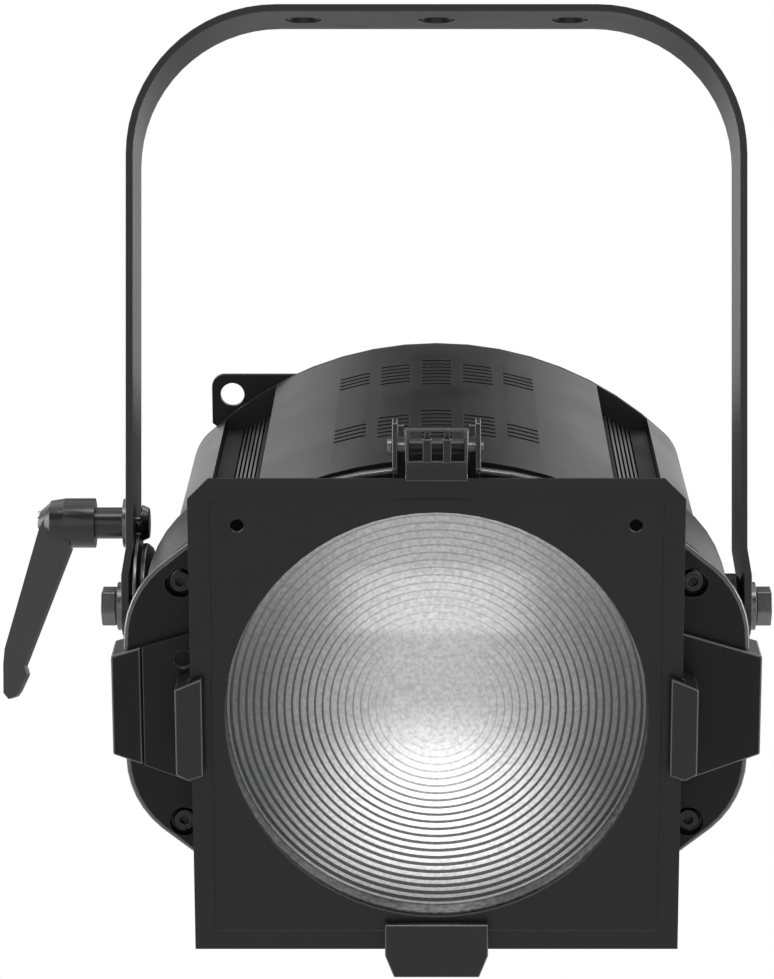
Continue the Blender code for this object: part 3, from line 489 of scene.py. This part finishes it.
def build_lens():
    """A moulded fresnel lens: facets that fall outwards, grooves that widen towards the rim, and a
    skirt that seats in the bezel."""
    profile = [(0.0, LENS_FRONT)]
    for ring in range(LENS_RINGS):
        end = (ring + 1) * RIDGE_PITCH
        floor = LENS_FRONT + groove_depth(end)
        profile.append((end - groove_width(end), floor))
        profile.append((end - RIDGE_LIP, floor))
        profile.append((end, LENS_FRONT + RIDGE_LIP))
    inside = LENS_FRONT + LENS_WALL
    profile += [(LENS_R, LENS_FRONT + 0.3), (LENS_R, LENS_FLANGE_FRONT),
                (LENS_FLANGE_R, LENS_FLANGE_FRONT), (LENS_FLANGE_R, LENS_BACK),
                (LENS_SKIRT_R, LENS_BACK), (LENS_SKIRT_R, inside), (0.0, inside)]
    mesh = to_mesh(lathe(profile, 160), smooth=False)
    for face in mesh.polygons:
        centre = face.center
        radius = math.hypot(centre.x, centre.z)
        step = radius % RIDGE_PITCH
        if centre.y < LENS_FRONT + 3.0 and radius < LENS_RINGS * RIDGE_PITCH:
            ring_end = radius - step + RIDGE_PITCH
            if step > RIDGE_PITCH - groove_width(ring_end):
                face.material_index = 1
    smooth_below(mesh, 12.0)
    # the grooves take the dimmed painted glow and the rest takes the full painted glow
    add_piece("fresnel_lens_ridged", mesh, "lens_glass", "head",
              looks=[LOOKS["lens_glass"], GROOVE_DIMMED_GLOW], replaced=["fresnel_lens"])


def lens_collar():
    """The thin collar round the lens, with a rough inner wall that flares forward."""
    back, front = -140.4, -151.2
    profile = [(82.25, back), (83.2, front), (83.9, front), (83.9, back)]
    mesh = to_mesh(lathe(profile, 160, closed=True), smooth=False)
    smooth_below(mesh, 30.0)
    add_piece("lens_collar", mesh, "matt_black", "head", looks=[SPECKLE])


# colour frame and latch

def offset_outline(points, inward):
    """A convex outline drawn in by a distance, with mitred corners."""
    count = len(points)
    lines = []
    for index in range(count):
        start, end = Vector(points[index]), Vector(points[(index + 1) % count])
        along = (end - start).normalized()
        lines.append((start + Vector((-along.y, along.x)) * inward, along))
    corners = []
    for index in range(count):
        (first, one), (second, two) = lines[index - 1], lines[index]
        across = one.x * two.y - one.y * two.x
        gap = second - first
        corners.append(first + one * ((gap.x * two.y - gap.y * two.x) / across))
    return corners


def outline_ring(outline, rows):
    """A closed strip that follows an outline. Each row is (distance drawn in, y)."""
    shape = bmesh.new()
    bridge_loops(shape, [[shape.verts.new((p.x, y, p.y)) for p in offset_outline(outline, inward)]
                         for inward, y in rows])
    return shape


def frame_fold():
    """The pressed bead where the colour frame's border folds back."""
    half, top, foot, corner = 95.25, 95.25, -96.05, 8.0
    outline = [(-half, foot), (half, foot), (half, top - corner), (half - corner, top),
               (corner - half, top), (-half, top - corner)]
    face = -159.2
    sunk, raised = face + 0.6, face - 0.25
    rows = [(7.6, sunk), (7.8, raised), (8.3, raised), (8.8, sunk)]
    mesh = to_mesh(outline_ring(outline, rows), False)
    bead = add_piece("colour_frame_fold", mesh, "black_paint", "head", looks=[FRAME_PAINT])
    soften(bead, 0.1, 2)


def x_ring(shape, low, high, outer, inner):
    """A bored barrel along X round the latch pin."""
    corners = [(low, inner), (low, outer), (high, outer), (high, inner)]
    points = [shape.verts.new((x, LATCH_PIN[0] + radius, LATCH_PIN[1])) for x, radius in corners]
    pairs = list(zip(points, points[1:] + points[:1]))
    spin_full(shape, points, pairs, (0.0, *LATCH_PIN), (1.0, 0.0, 0.0), 32)


def x_prism(shape, low, high, outline):
    """A plate across X with its outline given as (y, z) points."""
    near = [shape.verts.new((low, y, z)) for y, z in outline]
    far = [shape.verts.new((high, y, z)) for y, z in outline]
    shape.faces.new(near)
    shape.faces.new(far[::-1])
    for index in range(len(outline)):
        after = (index + 1) % len(outline)
        shape.faces.new((near[index], near[after], far[after], far[index]))


def build_catch():
    """The catch: a windowed plate with two hollow fingers, side walls and a barrel on the pin."""
    shape = bmesh.new()
    front, back, half, inner = -163.0, -161.4, 11.8, 10.6
    foot, sill, finger_top, lintel, top = 95.4, 103.2, 112.0, 114.9, 115.9
    add_box(shape, (-half, front, foot), (half, back, sill))
    add_box(shape, (-half, front, lintel), (half, back, top))
    wall = [(back, 99.0), (back, 114.0), (-156.0, 112.0), (-147.0, 109.0), (-146.2, 105.0),
            (-150.0, 101.6)]
    for low, high in ((-half, -inner), (inner, half)):
        add_box(shape, (low, front, sill), (high, back, lintel))
        x_prism(shape, low, high, wall)
    finger = [(back, sill - 0.6), (back, finger_top), (-164.4, finger_top), (-163.6, sill - 0.6)]
    for low, high in ((-5.3, -1.8), (2.4, 5.6)):
        add_box(shape, (low + 0.5, front + 0.2, 111.8), (high - 0.5, back, lintel))
        x_prism(shape, low, high, finger)
    x_ring(shape, -inner, inner, 3.4, 2.3)
    bmesh.ops.remove_doubles(shape, verts=shape.verts, dist=WELD_DISTANCE)
    catch = add_piece("top_latch_catch", to_mesh(shape, False), "black_paint", "latch",
                      looks=[LOOKS["black_paint"], PAINTED_EDGE_HIGHLIGHT], replaced=["top_latch"])
    # its bevels take the painted edge highlight
    soften(catch, 0.35, edge_look=1)


def build_catch_bracket():
    """The bracket of the catch: a foot on the bezel, thin side plates and a stop tab on each."""
    shape = bmesh.new()
    front, back = -143.0, -140.3
    foot, side_foot, top = 86.6, 96.6, 103.0
    half, side_in, tab_in = 16.8, 14.9, 12.4
    add_box(shape, (-half, front, foot), (half, back, top))
    side = [(back, side_foot), (-156.0, side_foot), (-160.6, 99.5), (-161.0, 110.0),
            (-158.0, 116.8), (-150.0, 117.0), (back, top)]
    for sign in (-1.0, 1.0):
        low, high = sorted((side_in * sign, half * sign))
        x_prism(shape, low, high, side)
        low, high = sorted((tab_in * sign, side_in * sign))
        add_box(shape, (low, -160.0, 111.9), (high, -157.4, 116.6))
        add_box(shape, (low, front, side_foot), (high, back, top))
    bracket = add_piece("latch_bracket_folded", to_mesh(shape, False), "black_paint", "head",
                        looks=[LOOKS["black_paint"], PAINTED_EDGE_HIGHLIGHT], replaced=["latch_bracket"])
    # its bevels take the painted edge highlight
    soften(bracket, 0.35, edge_look=1)


def bezel_rim():
    """The rounded outer edge of the bezel's front plate, along the outline of its CAD face, all in the painted
    edge highlight.
    """
    item = nodes["front_bezel"]
    to_head = HEAD.inverted() @ item.matrix_world
    screw_seat, lens_bore = 8.0, 91.0
    outline = {}
    for vertex in item.data.vertices:
        x, y, z = (to_head @ vertex.co) / MM
        near_screw = math.hypot(abs(x) - BEZEL_SCREW[0], abs(z) - BEZEL_SCREW[1]) < screw_seat
        if abs(y - BEZEL_FACE) < 0.2 and math.hypot(x, z) > lens_bore and not near_screw:
            outline[(round(x, 1), round(z, 1))] = Vector((x, z))
    points = sorted(outline.values(), key=lambda point: math.atan2(point.y, point.x))
    points = [p for p, after in zip(points, points[1:] + points[:1]) if (after - p).length > 0.5]
    # the rim's section, as (growth of the outline, y behind the face)
    section = ((-0.5, 1.9), (0.5, 1.6), (0.55, 0.9), (0.0, 0.0), (-0.7, -0.3), (-1.6, 0.2))
    shape = bmesh.new()
    loops = []
    for grow, y in section:
        ring = [p + p.normalized() * grow for p in points]
        loops.append([shape.verts.new((p.x, BEZEL_FACE + y, p.y)) for p in ring])
    bridge_loops(shape, loops)
    mesh = to_mesh(shape, smooth=False)
    smooth_below(mesh, 70.0)
    # the whole rim is painted as a highlight
    add_piece("front_bezel_rim", mesh, "black_paint", "head", looks=[PAINTED_EDGE_HIGHLIGHT])


# rear panel

def socket_contacts():
    """Blades and pins inside the four rear sockets."""
    floor = PANEL_FACE + 3.8
    blade_ring, pin_ring = 5.2, 4.3
    blades = bmesh.new()
    for middle in (-56.0, -26.0):
        for step in range(3):
            turn = math.radians(90.0 + 120.0 * step)
            x, z = (middle + blade_ring * math.cos(turn),
                    SOCKET_ROW_Z + blade_ring * math.sin(turn))
            add_box(blades, (x - 1.6, floor, z - 0.6), (x + 1.6, floor + 4.6, z + 0.6))
    power = add_piece("power_contacts", to_mesh(blades, False), "zinc_steel", "head", looks=[BRASS])
    pins = bmesh.new()
    for middle in (26.0, 56.0):
        for step in range(5):
            turn = math.radians(50.0 + 65.0 * step)
            spot = (middle + pin_ring * math.cos(turn), SOCKET_ROW_Z + pin_ring * math.sin(turn))
            add_bar(pins, spot, 0.75, floor, floor + 4.4, 12)
    data = add_piece("data_contacts", to_mesh(pins), "zinc_steel", "head", looks=[BRASS])
    for piece in (power, data):
        soften(piece, 0.15, 2)


def cap_screw(name, x, z, seat, radius):
    """A button-head screw with a round recess, on a face of the head that looks along +Y."""
    head = 0.55 * radius
    profile = [(0.0, 0.0), (radius, 0.0), (radius * 0.98, head * 0.35), (radius * 0.8, head * 0.8),
               (radius * 0.55, head), (radius * 0.48, head), (radius * 0.46, head * 0.35),
               (0.0, head * 0.3)]
    shape = lathe(profile, 24)
    bmesh.ops.translate(shape, vec=(x, seat, z), verts=shape.verts)
    add_piece(name, to_mesh(shape), "black_steel", "head")


def panel_screws():
    spots = [(-78.0, 22.0), (78.0, 22.0), (-78.0, -22.0), (78.0, -22.0), (0.0, 50.5),
             (0.0, -50.5)]
    for number, (x, z) in enumerate(spots, 1):
        cap_screw("panel_screw_" + str(number), x, z, PANEL_FACE + 0.1, 2.6)


def end_plate_screws():
    seat = 98.4
    spots = [(-99.5, 30.0), (99.5, 30.0), (-99.5, -30.0), (99.5, -30.0), (-40.0, 80.0),
             (40.0, 80.0), (-40.0, -80.0), (40.0, -80.0)]
    for number, (x, z) in enumerate(spots, 1):
        cap_screw("end_plate_screw_" + str(number), x, z, seat, 3.0)


def display_marks():
    """Plain menu bars that glow on the dark display."""
    face = PANEL_FACE + 1.95
    shape = bmesh.new()
    for row, lengths in enumerate(((22.0, 9.0), (14.0, 6.0), (18.0, 6.0), (11.0, 9.0))):
        z = 39.0 - 6.4 * row
        add_box(shape, (26.0 - lengths[0], face, z), (26.0, face + 0.15, z + 2.4))
        add_box(shape, (-26.0, face, z), (-26.0 + lengths[1], face + 0.15, z + 2.4))
    add_piece("display_marks", to_mesh(shape, False), "display_glass", "head", looks=[SCREEN_GLOW])


def display_surround():
    """A thin raised frame round the display."""
    shape = bmesh.new()
    face = PANEL_FACE + 0.1
    for low, high in (((-35.0, 11.0), (35.0, 13.6)), ((-35.0, 46.4), (35.0, 49.0)),
                      ((-35.0, 13.6), (-32.4, 46.4)), ((32.4, 13.6), (35.0, 46.4))):
        add_box(shape, (low[0], face, low[1]), (high[0], face + 2.6, high[1]))
    rim = add_piece("display_surround", to_mesh(shape, False), "black_plastic", "head")
    soften(rim, 0.4)


add_camera()
add_world()
lamp_middle = (0.0, 0.0, -0.25)
add_softbox("rim_light", (0.0, -1.5, 2.2), lamp_middle, (1.5, 0.6), 26.0)
add_softbox("left_light", (-2.2, 0.3, -0.1), lamp_middle, (0.9, 1.2), 24.0)
add_softbox("right_light", (2.2, 0.3, -0.1), lamp_middle, (0.9, 1.2), 24.0)
add_floor()
finish_nodes()
build_lens()
lens_collar()
frame_fold()
bezel_rim()
build_catch()
build_catch_bracket()
socket_contacts()
panel_screws()
end_plate_screws()
display_marks()
display_surround()

bpy.context.scene.view_settings.view_transform = "Standard"
